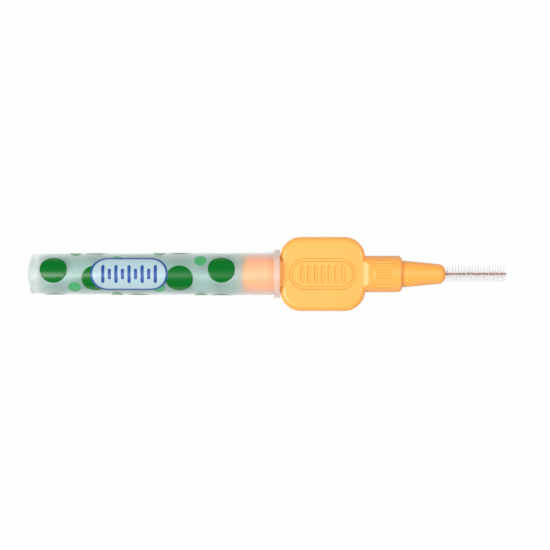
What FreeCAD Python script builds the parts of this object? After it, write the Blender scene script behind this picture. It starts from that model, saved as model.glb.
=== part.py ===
import FreeCAD, Part
import math
import os

# Interdental brush with a press-on cap, in millimetres.
# X runs along the brush, from the closed end of the cap to the tip of the wire.
# Z is up, out of the flat of the paddle, and the brush lies on the plane Z = 0.

# Paddle, the flat grip for finger and thumb
paddle_length = 15.7
paddle_width = 13.65
paddle_thickness = 5.0
paddle_corner_radius = 3.9
paddle_edge_radius = 1.0

# Pattern sunk into both flats of the paddle: a frame with cross bars in it
frame_length = 12.4
frame_width = 5.8
frame_line = 0.66
bar_count = 7
bar_length = 3.2
bar_line = 0.7
bar_spacing = 1.25
pattern_depth = 0.28
pattern_draft = 0.16

# Ribbed collar, the same at the front of the paddle and at the rear, where it is the plug of the cap
collar_length = 6.85
collar_radius = 3.37
collar_end_radius = 0.82
rib_count = 9
rib_pitch = 0.575
rib_crest_radius = 3.45
rib_valley_radius = 3.31
rib_start = 1.65
rib_end = 5.15
rib_end_slope = 0.25

# Ramp that leads from the flat of the paddle up to the collar
ramp_inset = 0.6
ramp_reach = 1.3
ramp_edge_radius = 0.2

# Nose, the tapered holder of the wire
nose_length = 8.05
nose_base_radius = 2.5
nose_tip_radius = 1.72
nose_rounding = 1.4

# Wire core, folded in two at the brush tip and twisted
strand_diameter = 0.194
turn_pitch = 1.05
wire_clearance = 0.004
first_row_gap = 0.31
embedded_quarter_turns = 27

# Nylon filaments, one row for each half turn of the wire
row_count = 21
filaments_per_row = 8
filament_diameter = 0.06
brush_diameter = 3.2

# Cap
cap_length = 46.5
cap_mouth_outer_radius = 3.97
cap_end_outer_radius = 3.78
cap_end_inner_radius = 3.3
cap_floor_thickness = 1.9
cap_floor_rounding = 1.4
cap_corner_radius = 0.55
cap_dome_radius = 2.95
cap_dome_height = 0.54
cap_seat_margin = 0.6
flange_radius = 4.53
flange_length = 1.05
flange_edge_radius = 0.15
cap_fit_clearance = 0.03
cap_stop_clearance = 0.05


def vector(x, y, z):
    return FreeCAD.Vector(x, y, z)


axis_start = vector(0, 0, 0)
axis_direction = vector(1, 0, 0)


# Lines and arcs of an outline given as (x, radius) about the X axis

def line(start, end):
    return Part.LineSegment(vector(start[0], 0, start[1]), vector(end[0], 0, end[1])).toShape()


def arc_about(centre, start, end):
    """The shorter arc from start to end about centre."""
    middle = [(start[i] + end[i]) / 2 - centre[i] for i in (0, 1)]
    scale = math.dist(centre, start) / math.hypot(*middle)
    through = [centre[i] + middle[i] * scale for i in (0, 1)]
    points = [vector(p[0], 0, p[1]) for p in (start, through, end)]
    return Part.Arc(*points).toShape()


def revolved(edges):
    return Part.Face(Part.Wire(edges)).revolve(axis_start, axis_direction, 360)


def mirrored_lengthwise(shape):
    """The same shape at the other end of the paddle."""
    return shape.mirror(vector(paddle_length / 2, 0, 0), axis_direction)


def mirrored_to_underside(shape):
    return shape.mirror(axis_start, vector(0, 0, 1))


def stadium_wire(length, width, height):
    """Outline with round ends, lengthwise along X, in the plane Z = height."""
    radius = width / 2
    half_run = length / 2 - radius
    corners = [vector(x, y, height) for x, y in
               ((-half_run, -radius), (half_run, -radius), (half_run, radius), (-half_run, radius))]
    edges = [
        Part.LineSegment(corners[0], corners[1]),
        Part.Arc(corners[1], vector(half_run + radius, 0, height), corners[2]),
        Part.LineSegment(corners[2], corners[3]),
        Part.Arc(corners[3], vector(-half_run - radius, 0, height), corners[0]),
    ]
    return Part.Wire([edge.toShape() for edge in edges])


def stadium(length, width, height, draft):
    """Bar with round ends, standing on Z = 0, its size given at the top and less by the draft all round below."""
    below = stadium_wire(length - 2 * draft, width - 2 * draft, 0)
    above = stadium_wire(length, width, height)
    return Part.makeLoft([below, above], True, True)


# Handle

def make_paddle():
    block = Part.makeBox(paddle_length, paddle_width, paddle_thickness,
                         vector(0, -paddle_width / 2, -paddle_thickness / 2))
    upright = [e for e in block.Edges if abs(e.tangentAt(e.FirstParameter).z) > 0.5]
    plate = block.makeFillet(paddle_corner_radius, upright)
    rim = [e for e in plate.Edges if abs(e.BoundBox.ZLength) < paddle_edge_radius]
    return plate.makeFillet(min(paddle_edge_radius, 0.45 * paddle_thickness), rim)


def make_pattern():
    """Cutter for the frame and its bars, in the upper flat."""
    frame = stadium(frame_length, frame_width, pattern_depth, pattern_draft)
    inside = frame_length - 2 * frame_line, frame_width - 2 * frame_line
    frame = frame.cut(stadium(*inside, pattern_depth, -pattern_draft))
    bar = stadium(bar_length, bar_line, pattern_depth, pattern_draft)
    bar.rotate(axis_start, vector(0, 0, 1), 90)
    pieces = [frame]
    for number in range(bar_count):
        copy = bar.copy()
        copy.translate(vector((number - (bar_count - 1) / 2) * bar_spacing, 0, 0))
        pieces.append(copy)
    pattern = Part.makeCompound(pieces)
    pattern.translate(vector(paddle_length / 2, 0, paddle_thickness / 2 - pattern_depth))
    return pattern


def make_ramp_cutter():
    """What is taken off the top of the front collar: level with the flat, then a hollow ramp upwards."""
    flat = paddle_thickness / 2
    base = paddle_length - ramp_inset
    top = paddle_length + ramp_reach
    run = top - base
    rise = collar_radius - flat
    hollow_radius = (run ** 2 + rise ** 2) / (2 * rise)
    over = 2 * rib_crest_radius
    outline = [
        line((paddle_length / 2, flat), (base, flat)),
        arc_about((base, flat + hollow_radius), (base, flat), (top, collar_radius)),
        line((top, collar_radius), (top, over)),
        line((top, over), (paddle_length / 2, over)),
        line((paddle_length / 2, over), (paddle_length / 2, flat)),
    ]
    cutter = Part.Face(Part.Wire(outline)).extrude(vector(0, paddle_width, 0))
    cutter.translate(vector(0, -paddle_width / 2, 0))
    return cutter


def make_ribs():
    """Sleeve in the waist of the front collar, with rounded ribs above and below, sloped down at both ends.

    The valleys between the ribs are evenly spaced in Y, and the sides bulge out as far as the collar.
    """

    def at(angle, radius):
        return vector(0, radius * math.sin(angle), radius * math.cos(angle))

    def valley_angle(number):
        return math.asin((number - rib_count / 2) * rib_pitch / rib_valley_radius)

    def side(y_sign):
        end = at(valley_angle(rib_count), rib_valley_radius)
        points = [(end.y, end.z), (collar_radius, 0), (end.y, -end.z)]
        return Part.Arc(*[vector(0, y_sign * y, z) for y, z in points]).toShape()

    crests = []
    for number in range(rib_count):
        start, end = valley_angle(number), valley_angle(number + 1)
        points = (at(start, rib_valley_radius), at((start + end) / 2, rib_crest_radius),
                  at(end, rib_valley_radius))
        crests.append(Part.Arc(*points).toShape())
    below = [mirrored_to_underside(crest) for crest in reversed(crests)]
    outline = Part.Wire(crests + [side(1)] + below + [side(-1)])
    sleeve = Part.Face(outline).extrude(vector(rib_end - rib_start, 0, 0))
    sleeve.translate(vector(paddle_length + rib_start, 0, 0))
    first = paddle_length + rib_start
    last = paddle_length + rib_end
    slopes = [(first, 0), (first, collar_radius), (first + rib_end_slope, rib_crest_radius),
              (last - rib_end_slope, rib_crest_radius), (last, collar_radius), (last, 0)]
    return sleeve.common(revolved([line(slopes[i - 1], slopes[i]) for i in range(len(slopes))]))


def is_ramp_edge(edge):
    """Whether an edge of the cut collar is one where a ramp runs out into its round."""
    box = edge.BoundBox
    point = edge.valueAt((edge.FirstParameter + edge.LastParameter) / 2)
    on_round = abs(math.hypot(point.y, point.z) - collar_radius) < 0.001
    return on_round and box.XLength > ramp_reach / 2 and box.XMax < paddle_length + rib_start


def make_collar():
    """Front collar from the middle of the paddle to its rounded end, with its ramps and ribs."""
    middle = paddle_length / 2
    first = paddle_length + rib_start
    last = paddle_length + rib_end
    end = paddle_length + collar_length
    rounding = min(collar_end_radius, collar_radius - nose_base_radius)
    core = revolved([
        line((middle, 0), (middle, collar_radius)),
        line((middle, collar_radius), (first, collar_radius)),
        line((first, collar_radius), (first + rib_end_slope, rib_valley_radius)),
        line((first + rib_end_slope, rib_valley_radius), (last - rib_end_slope, rib_valley_radius)),
        line((last - rib_end_slope, rib_valley_radius), (last, collar_radius)),
        line((last, collar_radius), (end - rounding, collar_radius)),
        arc_about((end - rounding, collar_radius - rounding), (end - rounding, collar_radius),
                  (end, collar_radius - rounding)),
        line((end, collar_radius - rounding), (end, 0)),
        line((end, 0), (middle, 0)),
    ])
    cutter = make_ramp_cutter()
    core = core.cut([cutter, mirrored_to_underside(cutter)])
    core = core.makeFillet(ramp_edge_radius, [edge for edge in core.Edges if is_ramp_edge(edge)])
    return core.fuse(make_ribs())


def make_nose():
    """Tapered nose with a rounded tip, from inside the collar to where the wire comes out."""
    root = paddle_length
    base = paddle_length + collar_length
    tip = base + nose_length
    slope = (nose_tip_radius - nose_base_radius) / nose_length
    slant = math.hypot(1, slope)
    centre = (tip - nose_rounding,
              nose_base_radius + slope * (nose_length - nose_rounding) - nose_rounding * slant)
    touch = (centre[0] - nose_rounding * slope / slant, centre[1] + nose_rounding / slant)
    face_edge = (tip, centre[1])
    return revolved([
        line((root, 0), (root, nose_base_radius)),
        line((root, nose_base_radius), (base, nose_base_radius)),
        line((base, nose_base_radius), touch),
        arc_about(centre, touch, face_edge),
        line(face_edge, (tip, 0)),
        line((tip, 0), (root, 0)),
    ])


def make_handle():
    collar = make_collar()
    handle = make_paddle().fuse([collar, mirrored_lengthwise(collar), make_nose()]).removeSplitter()
    pattern = make_pattern()
    socket = Part.makeCylinder(wire_radius + wire_clearance, wire_tip - wire_tail,
                               vector(wire_tail, 0, 0), axis_direction)
    return handle.cut([pattern, mirrored_to_underside(pattern), socket])


# Twisted wire: places along it follow from the nose and the rows of filaments

strand_radius = strand_diameter / 2
strand_offset = strand_radius + filament_diameter / 2 + wire_clearance
wire_radius = strand_offset + strand_radius
row_spacing = turn_pitch / 2
first_row = paddle_length + collar_length + nose_length + first_row_gap
last_row = first_row + (row_count - 1) * row_spacing
quarter_length = turn_pitch / 4
wire_tail = first_row - embedded_quarter_turns * quarter_length
fold_start = last_row + quarter_length
wire_tip = fold_start + wire_radius


def strand_point(quarter, side):
    """Centre of a strand and its direction after so many quarter turns from the first row."""
    angle = quarter * math.pi / 2 + side * math.pi
    place = vector(first_row + quarter * quarter_length,
                   strand_offset * math.sin(angle), strand_offset * math.cos(angle))
    heading = vector(turn_pitch / (2 * math.pi),
                     strand_offset * math.cos(angle), -strand_offset * math.sin(angle))
    return place, heading.normalize()


def tangent_arc(start, corner, end):
    """Arc that touches the lines start to corner and corner to end, which are equally long."""
    middle = (start + end) * 0.5
    half_chord = (end - start).Length / 2
    bulge = corner - middle
    turn = math.atan2(bulge.Length, half_chord)
    through = middle + bulge.normalize() * (half_chord * math.tan(turn / 2))
    return Part.Arc(start, through, end).toShape()


def biarc(start, heading, end, end_heading):
    """Two arcs that meet smoothly and lead from one place and heading to another."""
    across = end - start
    both = heading + end_heading
    a = both.dot(both) - 4
    b = -2 * across.dot(both)
    c = across.dot(across)
    reach = (-b - math.sqrt(b * b - 4 * a * c)) / (2 * a)
    if reach < 0:
        reach = (-b + math.sqrt(b * b - 4 * a * c)) / (2 * a)
    corner = start + heading * reach
    end_corner = end - end_heading * reach
    joint = (corner + end_corner) * 0.5
    return [tangent_arc(start, corner, joint), tangent_arc(joint, end_corner, end)]


def make_wire_core():
    """One wire: out along the first strand, round the fold at the tip and back along the other."""
    last_quarter = 2 * (row_count - 1) + 1
    quarters = range(-embedded_quarter_turns, last_quarter + 1)
    places = [strand_point(quarter, 0) for quarter in quarters]
    for quarter in reversed(quarters):
        place, heading = strand_point(quarter, 1)
        places.append((place, heading * -1))
    path = []
    for (start, heading), (end, end_heading) in zip(places, places[1:]):
        path += biarc(start, heading, end, end_heading)
    start, heading = places[0]
    section = Part.Wire(Part.makeCircle(strand_radius, start, heading))
    wire = Part.Wire(path)
    core = wire.makePipeShell([section], True, False)
    volume = math.pi * strand_radius ** 2 * wire.Length
    print("wire core: length", round(wire.Length, 2), "volume", round(core.Volume, 4), "of", round(volume, 4))
    return core


# Filaments, each straight through the axis between the two strands

def make_bristle_row(number):
    filaments = []
    for index in range(filaments_per_row):
        share = (index + 0.5) / filaments_per_row - 0.5
        angle = share * math.pi
        along = vector(0, math.cos(angle), -math.sin(angle))
        middle = vector(first_row + (number + share) * row_spacing, 0, 0)
        filaments.append(Part.makeCylinder(filament_diameter / 2, brush_diameter,
                                           middle - along * (brush_diameter / 2), along))
    return Part.makeCompound(filaments)


# Cap

def make_cap():
    """Tube with a seat for the rear collar, a flange at its mouth and a domed closed end."""
    mouth = -cap_stop_clearance
    end = mouth - cap_length
    shoulder = end + cap_dome_height
    floor = end + cap_floor_thickness
    seat_radius = rib_crest_radius + cap_fit_clearance
    seat_end = -collar_length - cap_seat_margin
    flange_back = mouth - flange_length
    edge = flange_edge_radius
    corner = cap_corner_radius
    dome_sphere = (cap_dome_radius ** 2 + cap_dome_height ** 2) / (2 * cap_dome_height)
    inner = cap_floor_rounding
    return revolved([
        line((mouth, seat_radius), (mouth, flange_radius - edge)),
        arc_about((mouth - edge, flange_radius - edge), (mouth, flange_radius - edge), (mouth - edge, flange_radius)),
        line((mouth - edge, flange_radius), (flange_back + edge, flange_radius)),
        arc_about((flange_back + edge, flange_radius - edge), (flange_back + edge, flange_radius),
                  (flange_back, flange_radius - edge)),
        line((flange_back, flange_radius - edge), (flange_back, cap_mouth_outer_radius)),
        line((flange_back, cap_mouth_outer_radius), (shoulder + corner, cap_end_outer_radius)),
        arc_about((shoulder + corner, cap_end_outer_radius - corner), (shoulder + corner, cap_end_outer_radius),
                  (shoulder, cap_end_outer_radius - corner)),
        line((shoulder, cap_end_outer_radius - corner), (shoulder, cap_dome_radius)),
        arc_about((end + dome_sphere, 0), (shoulder, cap_dome_radius), (end, 0)),
        line((end, 0), (floor, 0)),
        line((floor, 0), (floor, cap_end_inner_radius - inner)),
        arc_about((floor + inner, cap_end_inner_radius - inner), (floor, cap_end_inner_radius - inner),
                  (floor + inner, cap_end_inner_radius)),
        line((floor + inner, cap_end_inner_radius), (seat_end, seat_radius)),
        line((seat_end, seat_radius), (mouth, seat_radius)),
    ])


# All pieces, moved from the paddle's own place to the middle of the brush, lying on Z = 0

def main():
    nodes = {
        "handle": make_handle(),
        "cap": make_cap(),
        "wire_core": make_wire_core(),
    }
    for number in range(row_count):
        nodes["bristle_row_%02d" % (number + 1)] = make_bristle_row(number)
    middle = (wire_tip - cap_stop_clearance - cap_length) / 2
    os.makedirs("parts", exist_ok=True)
    for name, shape in nodes.items():
        shape.translate(vector(-middle, 0, flange_radius))
        shape.exportStep("parts/%s.step" % name)
        box = shape.BoundBox
        print(name, shape.isValid(), len(shape.Solids), round(shape.Volume, 4),
              [round(v, 3) for v in (box.XMin, box.XMax, box.YMin, box.YMax, box.ZMin, box.ZMax)])


main()
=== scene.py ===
import math
import random
import bmesh
import bpy
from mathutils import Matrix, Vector


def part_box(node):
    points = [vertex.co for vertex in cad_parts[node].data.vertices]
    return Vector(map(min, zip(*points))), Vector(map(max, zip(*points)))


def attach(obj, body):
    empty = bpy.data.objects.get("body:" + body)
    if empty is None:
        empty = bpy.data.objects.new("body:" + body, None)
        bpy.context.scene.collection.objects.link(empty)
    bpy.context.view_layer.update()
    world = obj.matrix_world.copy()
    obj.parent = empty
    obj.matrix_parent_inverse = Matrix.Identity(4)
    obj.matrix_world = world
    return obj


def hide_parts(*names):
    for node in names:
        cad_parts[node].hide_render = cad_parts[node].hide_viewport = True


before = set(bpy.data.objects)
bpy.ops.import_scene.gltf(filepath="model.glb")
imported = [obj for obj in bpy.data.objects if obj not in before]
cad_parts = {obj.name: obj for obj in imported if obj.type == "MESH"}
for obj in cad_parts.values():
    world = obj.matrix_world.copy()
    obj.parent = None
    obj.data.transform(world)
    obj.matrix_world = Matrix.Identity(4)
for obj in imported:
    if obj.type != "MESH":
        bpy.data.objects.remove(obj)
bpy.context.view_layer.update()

mm = 0.001
axisHeight = (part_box("cap")[0].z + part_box("cap")[1].z) / 2


def hexToLinear(hexCode):
    channels = [int(hexCode[i:i + 2], 16) / 255 for i in (1, 3, 5)]
    linear = [c / 12.92 if c <= 0.04045 else ((c + 0.055) / 1.055) ** 2.4 for c in channels]
    return (*linear, 1.0)


# one node with its settings, plain input values and links, which are (node, output) pairs
def addNode(tree, kind, settings=None, inputs=None):
    node = tree.nodes.new(kind)
    for key, value in (settings or {}).items():
        setattr(node, key, value)
    for key, value in (inputs or {}).items():
        if isinstance(value, tuple) and isinstance(value[0], bpy.types.Node):
            tree.links.new(value[0].outputs[value[1]], node.inputs[key])
        else:
            node.inputs[key].default_value = value
    return node


def newMaterial(name):
    material = bpy.data.materials.new(name)
    material.use_nodes = True
    material.node_tree.nodes.clear()
    return material, material.node_tree


def dress(obj, material):
    obj.data.materials.clear()
    obj.data.materials.append(material)


# finished bmesh to an object at the origin, its place in its mesh
def meshObject(bm, name, material):
    mesh = bpy.data.meshes.new(name)
    bm.to_mesh(mesh)
    bm.free()
    obj = bpy.data.objects.new(name, mesh)
    bpy.context.scene.collection.objects.link(obj)
    dress(obj, material)
    return obj


# camera, straight above like the photograph
photo = {
    "framePixels": 550,
    "mmPerPixel": 0.185,
    "middlePixel": (267.45, 274.0),      # where the middle of the brush lies in the frame
    "lens": 126.0,                       # mm, as is the sensor
    "sensor": 36.0,
    "clipEnd": 10.0,                     # past the far corners of the floor
}


def addCamera():
    pixel = photo["mmPerPixel"] * mm
    half = photo["framePixels"] / 2
    data = bpy.data.cameras.new("photoCamera")
    data.lens = photo["lens"]
    data.sensor_width = photo["sensor"]
    distance = photo["framePixels"] * pixel * photo["lens"] / photo["sensor"]
    camera = bpy.data.objects.new("photoCamera", data)
    camera.location = ((half - photo["middlePixel"][0]) * pixel,
                       (photo["middlePixel"][1] - half) * pixel,
                       axisHeight + distance)
    data.clip_end = photo["clipEnd"]
    bpy.context.scene.collection.objects.link(camera)
    bpy.context.scene.camera = camera


# softboxes: two from the left, one above the other, a fill from the right and a low strip in front
studio = {
    "boxes": {
        # name: place (m), width and height (m), watts
        "leftBox": ((-0.42, -0.10, 0.62), (0.34, 0.34), 2.6),
        "rightBox": ((0.42, 0.12, 0.58), (0.26, 0.26), 2.5),
        "highLeftBox": ((-0.44, -0.12, 1.00), (0.46, 0.62), 7.2),
        "frontStrip": ((0.0, -0.90, 0.17), (0.9, 0.05), 0.4),
    },
    "worldColour": "#F4F6F8",
    "worldStrength": 0.12,
    "ceiling": 0.12,                     # what reflections show overhead, against the white walls
    "wallHeight": (0.10, 0.25),          # slope at which the white walls start to darken, and end
    "floorColour": "#C0C0C0",
    "floorGlow": 0.97,                   # share of the floor that shows plain white
    "floorHalf": 3.0,
}


# 1 for rays that show the white surroundings: from the camera, by reflection or through the cap,
# but not for light that a surface has already scattered, so the white adds no light
def seenWhite(tree):
    paths = addNode(tree, "ShaderNodeLightPath")
    seen = addNode(tree, "ShaderNodeMath", {"operation": "MAXIMUM"},
                   {0: (paths, "Is Camera Ray"), 1: (paths, "Is Glossy Ray")})
    seen = addNode(tree, "ShaderNodeMath", {"operation": "MAXIMUM"},
                   {0: (seen, 0), 1: (paths, "Is Transmission Ray")})
    straight = addNode(tree, "ShaderNodeMath", {"operation": "LESS_THAN"},
                       {0: (paths, "Diffuse Depth"), 1: 0.5})    # at depth 0 nothing has scattered it
    return addNode(tree, "ShaderNodeMath", {"operation": "MULTIPLY"},
                   {0: (seen, 0), 1: (straight, 0)})


def addStudio():
    target = Vector((0, 0, axisHeight))
    for name, (place, size, watts) in studio["boxes"].items():
        lamp = bpy.data.lights.new(name, "AREA")
        lamp.shape = "RECTANGLE"
        lamp.size, lamp.size_y = size
        lamp.energy = watts
        obj = bpy.data.objects.new(name, lamp)
        obj.location = place
        obj.rotation_euler = (target - Vector(place)).to_track_quat("-Z", "Y").to_euler()
        bpy.context.scene.collection.objects.link(obj)
    world = bpy.data.worlds.new("studio")
    bpy.context.scene.world = world
    world.use_nodes = True
    tree = world.node_tree
    direction = addNode(tree, "ShaderNodeTexCoord")
    slope = addNode(tree, "ShaderNodeSeparateXYZ", inputs={0: (direction, "Generated")})
    wallTop, ceilingStart = studio["wallHeight"]
    walls = addNode(tree, "ShaderNodeMapRange", inputs={
        0: (slope, "Z"), 1: wallTop, 2: ceilingStart, 3: 1.0, 4: studio["ceiling"]})
    mirrored = addNode(tree, "ShaderNodeMapRange", inputs={
        0: (seenWhite(tree), 0), 3: studio["worldStrength"], 4: (walls, 0)})
    paths = addNode(tree, "ShaderNodeLightPath")
    strength = addNode(tree, "ShaderNodeMapRange", inputs={
        0: (paths, "Is Camera Ray"), 3: (mirrored, 0), 4: 1.0})
    background = tree.nodes["Background"]
    background.inputs["Color"].default_value = hexToLinear(studio["worldColour"])
    tree.links.new(strength.outputs[0], background.inputs["Strength"])


# white paper: mostly plain white to the eye, the rest keeps the shadow
def addFloor():
    material, tree = newMaterial("whitePaper")
    share = addNode(tree, "ShaderNodeMath", {"operation": "MULTIPLY"},
                    {0: (seenWhite(tree), 0), 1: studio["floorGlow"]})
    paper = addNode(tree, "ShaderNodeBsdfDiffuse", inputs={"Color": hexToLinear(studio["floorColour"])})
    glow = addNode(tree, "ShaderNodeEmission", inputs={"Color": (1, 1, 1, 1), "Strength": 1.0})
    mix = addNode(tree, "ShaderNodeMixShader", inputs={0: (share, 0), 1: (paper, 0), 2: (glow, 0)})
    addNode(tree, "ShaderNodeOutputMaterial", inputs={"Surface": (mix, 0)})
    bm = bmesh.new()
    bmesh.ops.create_grid(bm, x_segments=1, y_segments=1, size=studio["floorHalf"])
    meshObject(bm, "floor", material)


# moulded polypropylene, dense orange pigment: satin, with soft highlights on edges and ribs
handlePlastic = {
    "colour": "#FFAF52",
    "deepColour": "#FFAA4C",             # where pigment is denser
    "roughness": (0.33, 0.41),
    "ior": 1.49,
    "flowMm": 9.0,                       # slow drift of colour from the melt's flow
    "grainMm": 0.25,                     # mould's spark finish, drawn about twice too coarse so it shows
    "grainDepth": 0.012,
}


def orangePolypropylene():
    p = handlePlastic
    material, tree = newMaterial("mouldedPolypropyleneOrange")
    place = addNode(tree, "ShaderNodeTexCoord")
    flow = addNode(tree, "ShaderNodeTexNoise", inputs={
        "Vector": (place, "Object"), "Scale": 1 / (p["flowMm"] * mm), "Detail": 2.0})
    colour = addNode(tree, "ShaderNodeMix", {"data_type": "RGBA"}, {
        0: (flow, 0), 6: hexToLinear(p["colour"]), 7: hexToLinear(p["deepColour"])})
    grain = addNode(tree, "ShaderNodeTexNoise", inputs={
        "Vector": (place, "Object"), "Scale": 1 / (p["grainMm"] * mm), "Detail": 3.0})
    rough = addNode(tree, "ShaderNodeMapRange", inputs={
        0: (grain, 0), 3: p["roughness"][0], 4: p["roughness"][1]})
    bump = addNode(tree, "ShaderNodeBump", inputs={
        "Height": (grain, 0), "Strength": p["grainDepth"], "Distance": p["grainMm"] * mm})
    shader = addNode(tree, "ShaderNodeBsdfPrincipled", inputs={
        "Base Color": (colour, 2), "Roughness": (rough, 0), "Normal": (bump, 0), "IOR": p["ior"]})
    addNode(tree, "ShaderNodeOutputMaterial", inputs={"Surface": (shader, 0)})
    return material


# outside of the cap's tube, a slight cone between its closed end and its flange
tube = {
    "cornerFromEnd": 1.09 * mm,          # dome and rounded corner at the closed end
    "endRadius": 3.78 * mm,
    "flangeLength": 1.05 * mm,
    "mouthRadius": 3.97 * mm,
}
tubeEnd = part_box("cap")[0].x
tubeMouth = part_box("cap")[1].x - tube["flangeLength"]


def tubeRadius(x):
    start = tubeEnd + tube["cornerFromEnd"]
    widening = tube["mouthRadius"] - tube["endRadius"]
    return tube["endRadius"] + widening * (x - start) / (tubeMouth - start)


# natural polypropylene, moulded glossy outside: thin walls let the light through but blur
# what lies behind them, so only what touches the wall stays sharp
capPlastic = {
    "colour": "#D0E6E1",
    "endColour": "#E2ECE9",              # the closed end is thick, so it looks whiter
    "endLength": 4.0 * mm,
    "plugGlowColour": "#FAE8DE",            # painted glow: stands for the orange light the wall takes up round the plug
    "plugGlowLength": 7.8 * mm,             # the painted glow fades out a little past the inner end of the plug
    "roughness": 0.40,
    "ior": 1.49,
    "clear": 0.885,
    "flangeClear": 0.65,                 # the flange is thick, so it looks milky
    "rim": 0.9,                          # pale edges, where the eye looks along the milky wall
    "rimSpread": 0.45,
    "gloss": 0.15,
    "glossRoughness": 0.15,              # of the skin left by the polished mould
    "lampTint": "#D0D4D4",               # lamp light straight through the thin wall, each face
    "flangeTint": "#5E6464",             # and through the thick flange
    "grainMm": 0.5,                      # slight waves in the moulded wall
    "grainDepth": 0.03,
}


def naturalPolypropylene():
    p = capPlastic
    material, tree = newMaterial("naturalPolypropylene")
    place = addNode(tree, "ShaderNodeTexCoord")
    grain = addNode(tree, "ShaderNodeTexNoise", inputs={
        "Vector": (place, "Object"), "Scale": 1 / (p["grainMm"] * mm), "Detail": 2.0})
    bump = addNode(tree, "ShaderNodeBump", inputs={
        "Height": (grain, 0), "Strength": p["grainDepth"], "Distance": p["grainMm"] * mm})
    along = addNode(tree, "ShaderNodeSeparateXYZ", inputs={0: (place, "Object")})
    inFlange = addNode(tree, "ShaderNodeMath", {"operation": "GREATER_THAN"},
                       {0: (along, "X"), 1: tubeMouth})
    clear = addNode(tree, "ShaderNodeMapRange", inputs={
        0: (inFlange, 0), 3: p["clear"], 4: p["flangeClear"]})
    # painted glow: the plug's orange light put into the wall's colour near the mouth, fading out past
    # the plug's inner end
    paintedPlugGlow = addNode(tree, "ShaderNodeMapRange", {"interpolation_type": "SMOOTHSTEP"}, {
        0: (along, "X"), 1: tubeMouth - p["plugGlowLength"], 2: tubeMouth - p["plugGlowLength"] / 2})
    thickness = addNode(tree, "ShaderNodeMapRange", {"interpolation_type": "SMOOTHSTEP"}, {
        0: (along, "X"), 1: tubeEnd + p["endLength"] / 2, 2: tubeEnd + p["endLength"]})
    colour = addNode(tree, "ShaderNodeMix", {"data_type": "RGBA"}, {
        0: (thickness, 0), 6: hexToLinear(p["endColour"]), 7: hexToLinear(p["colour"])})
    colour = addNode(tree, "ShaderNodeMix", {"data_type": "RGBA"}, {
        0: (paintedPlugGlow, 0), 6: (colour, 2), 7: hexToLinear(p["plugGlowColour"])})
    shader = addNode(tree, "ShaderNodeBsdfPrincipled", inputs={
        "Base Color": (colour, 2), "Roughness": p["roughness"], "IOR": p["ior"],
        "Transmission Weight": (clear, 0), "Normal": (bump, 0),
        "Sheen Weight": p["rim"], "Sheen Roughness": p["rimSpread"],
        "Coat Weight": p["gloss"], "Coat Roughness": p["glossRoughness"]})
    paths = addNode(tree, "ShaderNodeLightPath")
    tint = addNode(tree, "ShaderNodeMix", {"data_type": "RGBA"}, {
        0: (inFlange, 0), 6: hexToLinear(p["lampTint"]), 7: hexToLinear(p["flangeTint"])})
    lampPass = addNode(tree, "ShaderNodeBsdfTransparent", inputs={"Color": (tint, 2)})
    mix = addNode(tree, "ShaderNodeMixShader", inputs={
        0: (paths, "Is Shadow Ray"), 1: (shader, 0), 2: (lampPass, 0)})
    addNode(tree, "ShaderNodeOutputMaterial", inputs={"Surface": (mix, 0)})
    return material


# drawn stainless wire, tinted warm brown by its coating: satin, with marks of the die along it
wireMetal = {
    "colour": "#D8AE98",
    "markColour": "#C69A84",             # in the marks
    "roughness": (0.34, 0.48),
    "markMm": 0.2,                       # drawn about ten times too coarse so that it shows
    "markStretch": 6.0,                  # length of a mark against its width
}


def drawnWire():
    p = wireMetal
    material, tree = newMaterial("drawnStainlessWire")
    place = addNode(tree, "ShaderNodeTexCoord")
    drawn = addNode(tree, "ShaderNodeMapping", inputs={
        "Vector": (place, "Object"), "Scale": (1 / p["markStretch"], 1.0, 1.0)})
    marks = addNode(tree, "ShaderNodeTexNoise", inputs={
        "Vector": (drawn, 0), "Scale": 1 / (p["markMm"] * mm), "Detail": 2.0})
    colour = addNode(tree, "ShaderNodeMix", {"data_type": "RGBA"}, {
        0: (marks, 0), 6: hexToLinear(p["colour"]), 7: hexToLinear(p["markColour"])})
    rough = addNode(tree, "ShaderNodeMapRange", inputs={
        0: (marks, 0), 3: p["roughness"][0], 4: p["roughness"][1]})
    shader = addNode(tree, "ShaderNodeBsdfPrincipled", inputs={
        "Base Color": (colour, 2), "Metallic": 1.0, "Roughness": (rough, 0)})
    addNode(tree, "ShaderNodeOutputMaterial", inputs={"Surface": (shader, 0)})
    return material


# nylon filament, drawn and cut: nearly clear, so it shows as pale grey on white
filamentNylon = {
    "colour": "#FFFFFF",
    "milkyColour": "#F6F6F8",            # some stretches are milkier
    "stretchMm": 0.7,                    # about as long as this
    "roughness": 0.55,
    "ior": 1.53,
    "clear": 0.95,
}


def nylonFilament():
    p = filamentNylon
    material, tree = newMaterial("nylonFilament")
    place = addNode(tree, "ShaderNodeTexCoord")
    stretches = addNode(tree, "ShaderNodeTexNoise", inputs={
        "Vector": (place, "Object"), "Scale": 1 / (p["stretchMm"] * mm), "Detail": 2.0})
    colour = addNode(tree, "ShaderNodeMix", {"data_type": "RGBA"}, {
        0: (stretches, 0), 6: hexToLinear(p["colour"]), 7: hexToLinear(p["milkyColour"])})
    shader = addNode(tree, "ShaderNodeBsdfPrincipled", inputs={
        "Base Color": (colour, 2), "Roughness": p["roughness"], "IOR": p["ior"],
        "Transmission Weight": p["clear"]})
    addNode(tree, "ShaderNodeOutputMaterial", inputs={"Surface": (shader, 0)})
    return material


# screen-printed ink: opaque, a little glossy, with the faint mottle of a thin film
inks = {
    "screenInkGreen": ("#006E22", "#00641A"),
    "screenInkPaleGreen": ("#4CA86C", "#429C60"),
    "screenInkBlue": ("#2C559C", "#254C90"),
    "screenInkPaleBlue": ("#B0C7CE", "#A8C0C8"),
}
inkFilm = {
    "roughness": 0.24,
    "ior": 1.5,
    "mottleMm": 0.8,
}


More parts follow.
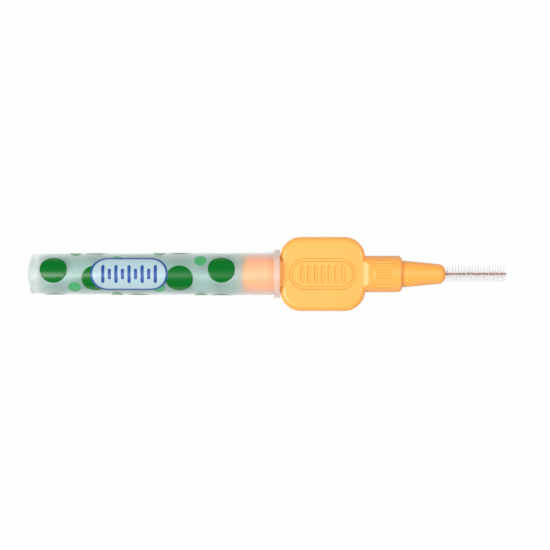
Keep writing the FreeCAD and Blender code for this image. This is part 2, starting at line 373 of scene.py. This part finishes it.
def screenInk(name):
    p = inkFilm
    light, dark = inks[name]
    material, tree = newMaterial(name)
    place = addNode(tree, "ShaderNodeTexCoord")
    mottle = addNode(tree, "ShaderNodeTexNoise", inputs={
        "Vector": (place, "Object"), "Scale": 1 / (p["mottleMm"] * mm), "Detail": 3.0})
    colour = addNode(tree, "ShaderNodeMix", {"data_type": "RGBA"}, {
        0: (mottle, 0), 6: hexToLinear(light), 7: hexToLinear(dark)})
    shader = addNode(tree, "ShaderNodeBsdfPrincipled", inputs={
        "Base Color": (colour, 2), "Roughness": p["roughness"], "IOR": p["ior"]})
    addNode(tree, "ShaderNodeOutputMaterial", inputs={"Surface": (shader, 0)})
    return material


# print on the tube: dots all round, and a label panel with plain bars
printing = {
    "film": 0.012 * mm,
    "layerGap": 0.003 * mm,
    "step": 0.22 * mm,                   # size of a patch's faces
    "weld": 0.011 * mm,                  # joins points that meet at the round ends
    "dot": 5.0 * mm,
    "smallDot": 2.3 * mm,
    "firstRing": 5.0 * mm,               # from the closed end
    "ringSpacing": 7.7 * mm,
    "ringCount": 5,
    "dotsRound": 3,
    "zigzag": 13.0,                      # degrees to either side from ring to ring
    "smallZigzag": -40.0,                # the same for the small dots, half a ring further on
    "labelMiddle": 18.9 * mm,            # from the closed end
    "labelLength": 14.2 * mm,
    "labelWidth": 6.6 * mm,
    "labelRim": 0.37 * mm,
    "labelAngle": 0.0,                   # degrees round the tube from straight up
    "barCount": 9,
    "barSpacing": 1.2 * mm,
    "barLine": 0.6 * mm,
    "barLengths": (3.4 * mm, 2.0 * mm),  # by turns
}


# one patch of ink with round ends, wrapped on the tube: length along it, width round it
def addPatch(bm, middle, angle, length, width, layer):
    p = printing
    longSide, shortSide = max(length, width), min(length, width)
    faces = [2 * max(2, round(side / p["step"] / 2)) for side in (longSide, shortSide)]
    fresh = bmesh.ops.create_grid(bm, x_segments=faces[0], y_segments=faces[1], size=1.0)["verts"]
    lift = p["layerGap"] + layer * (p["film"] + p["layerGap"])
    for vert in fresh:
        share = math.sin(vert.co.y * math.pi / 2)        # rows closer together towards the round ends
        inset = shortSide / 2 * (1 - math.sqrt(max(0.0, 1 - share ** 2)))
        run, across = vert.co.x * (longSide / 2 - inset), share * shortSide / 2
        if width > length:
            run, across = across, run
        x = tubeEnd + middle + run
        turn = math.radians(angle) + across / tubeRadius(x)
        radius = tubeRadius(x) + lift
        vert.co = (x, radius * math.sin(turn), axisHeight + radius * math.cos(turn))
    bmesh.ops.remove_doubles(bm, verts=fresh, dist=p["weld"])


def finishInk(bm, name, ink):
    bmesh.ops.recalc_face_normals(bm, faces=bm.faces[:])
    for face in bm.faces:                # open patches: make each one face away from the axis
        middle = face.calc_center_median()
        if face.normal.dot(Vector((0, middle.y, middle.z - axisHeight))) < 0:
            face.normal_flip()
    bmesh.ops.solidify(bm, geom=bm.faces[:], thickness=-printing["film"])
    for face in bm.faces:
        face.smooth = True
    obj = meshObject(bm, name, screenInk(ink))
    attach(obj, "cap")


def addPrint():
    p = printing
    large, small = bmesh.new(), bmesh.new()
    for ring in range(p["ringCount"]):
        for side in range(p["dotsRound"]):
            middle = p["firstRing"] + ring * p["ringSpacing"]
            angle = side * 360 / p["dotsRound"]
            way = (-1) ** ring
            addPatch(large, middle, angle + way * p["zigzag"], p["dot"], p["dot"], 0)
            if ring < p["ringCount"] - 1:
                addPatch(small, middle + p["ringSpacing"] / 2, angle + way * p["smallZigzag"],
                         p["smallDot"], p["smallDot"], 0)
    finishInk(large, "capDots", "screenInkGreen")
    finishInk(small, "capSmallDots", "screenInkPaleGreen")
    rim, panel, bars = bmesh.new(), bmesh.new(), bmesh.new()
    addPatch(rim, p["labelMiddle"], p["labelAngle"], p["labelLength"], p["labelWidth"], 1)
    addPatch(panel, p["labelMiddle"], p["labelAngle"],
             p["labelLength"] - 2 * p["labelRim"], p["labelWidth"] - 2 * p["labelRim"], 2)
    for number in range(p["barCount"]):
        offset = (number - (p["barCount"] - 1) / 2) * p["barSpacing"]
        addPatch(bars, p["labelMiddle"] + offset, p["labelAngle"],
                 p["barLine"], p["barLengths"][number % 2], 3)
    finishInk(rim, "capLabelRim", "screenInkBlue")
    finishInk(panel, "capLabelPanel", "screenInkPaleBlue")
    finishInk(bars, "capLabelBars", "screenInkBlue")


# filaments of one half turn of the wire, fanned round it like steps of a spiral stair
filaments = {
    "perRow": 8,
    "seed": 7,
    "diameter": 0.06 * mm,
    "sides": 6,
    "bends": 3,                          # rings between the two tips
    "stray": 0.05 * mm,                  # how far a tip strays
    "shortest": 0.97,                    # share of full length
    "tipShare": 0.55,                    # tip's radius against the filament's
}


# one filament of unit length and diameter on Z, with cut tips a little rounded
def filamentPattern():
    p = filaments
    bm = bmesh.new()
    bmesh.ops.create_cone(bm, cap_ends=True, segments=p["sides"], radius1=0.5, radius2=0.5, depth=1.0)
    sideEdges = [e for e in bm.edges if e.verts[0].co.z * e.verts[1].co.z < 0]    # from tip to tip
    bmesh.ops.subdivide_edges(bm, edges=sideEdges, cuts=p["bends"], use_grid_fill=True)
    for vert in bm.verts:
        if abs(vert.co.z) > 0.49:        # the tips lie at plus and minus a half
            vert.co.xy *= p["tipShare"]
    mesh = bpy.data.meshes.new("filamentPattern")
    bm.to_mesh(mesh)
    bm.free()
    return mesh


def addFilament(bm, pattern, middle, along, length, strays):
    first = len(bm.verts)
    bm.from_mesh(pattern)
    bm.verts.ensure_lookup_table()
    turn = Vector((0, 0, 1)).rotation_difference(along).to_matrix()
    for vert in bm.verts[first:]:
        stray = strays[vert.co.z > 0] * (2 * vert.co.z) ** 2
        thick = Vector((vert.co.x, vert.co.y, 0)) * filaments["diameter"]
        vert.co = middle + turn @ (thick + Vector((0, 0, vert.co.z * length))) + stray


def addFilaments():
    p = filaments
    nylon = nylonFilament()
    pattern = filamentPattern()
    draws = random.Random(p["seed"])
    rows = sorted(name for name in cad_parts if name.startswith("bristle_row"))
    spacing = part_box(rows[1])[0].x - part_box(rows[0])[0].x
    for number, row in enumerate(rows):
        low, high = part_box(row)
        centre = Vector(((low.x + high.x) / 2, 0, axisHeight))
        bm = bmesh.new()
        for index in range(p["perRow"]):
            share = (index + 0.5) / p["perRow"] - 0.5
            along = Vector((0, math.cos(share * math.pi), -math.sin(share * math.pi)))
            length = (high.z - low.z - 2 * p["stray"]) * draws.uniform(p["shortest"], 1.0)
            strays = [Vector([draws.uniform(-1, 1) * p["stray"] for _ in range(3)]) for _ in range(2)]
            addFilament(bm, pattern, centre + Vector((share * spacing, 0, 0)), along, length, strays)
        for face in bm.faces:
            face.smooth = True
        obj = meshObject(bm, "filamentRow%02d" % (number + 1), nylon)
        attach(obj, "brush")
        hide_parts(row)
    bpy.data.meshes.remove(pattern)


addCamera()
addStudio()
addFloor()
print("studio and camera placed")

dress(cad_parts["handle"], orangePolypropylene())
dress(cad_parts["cap"], naturalPolypropylene())
dress(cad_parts["wire_core"], drawnWire())
print("frame dressed")

addPrint()
print("cap printed")

addFilaments()
print("filaments set in the wire")

bpy.context.scene.view_settings.view_transform = "Standard"
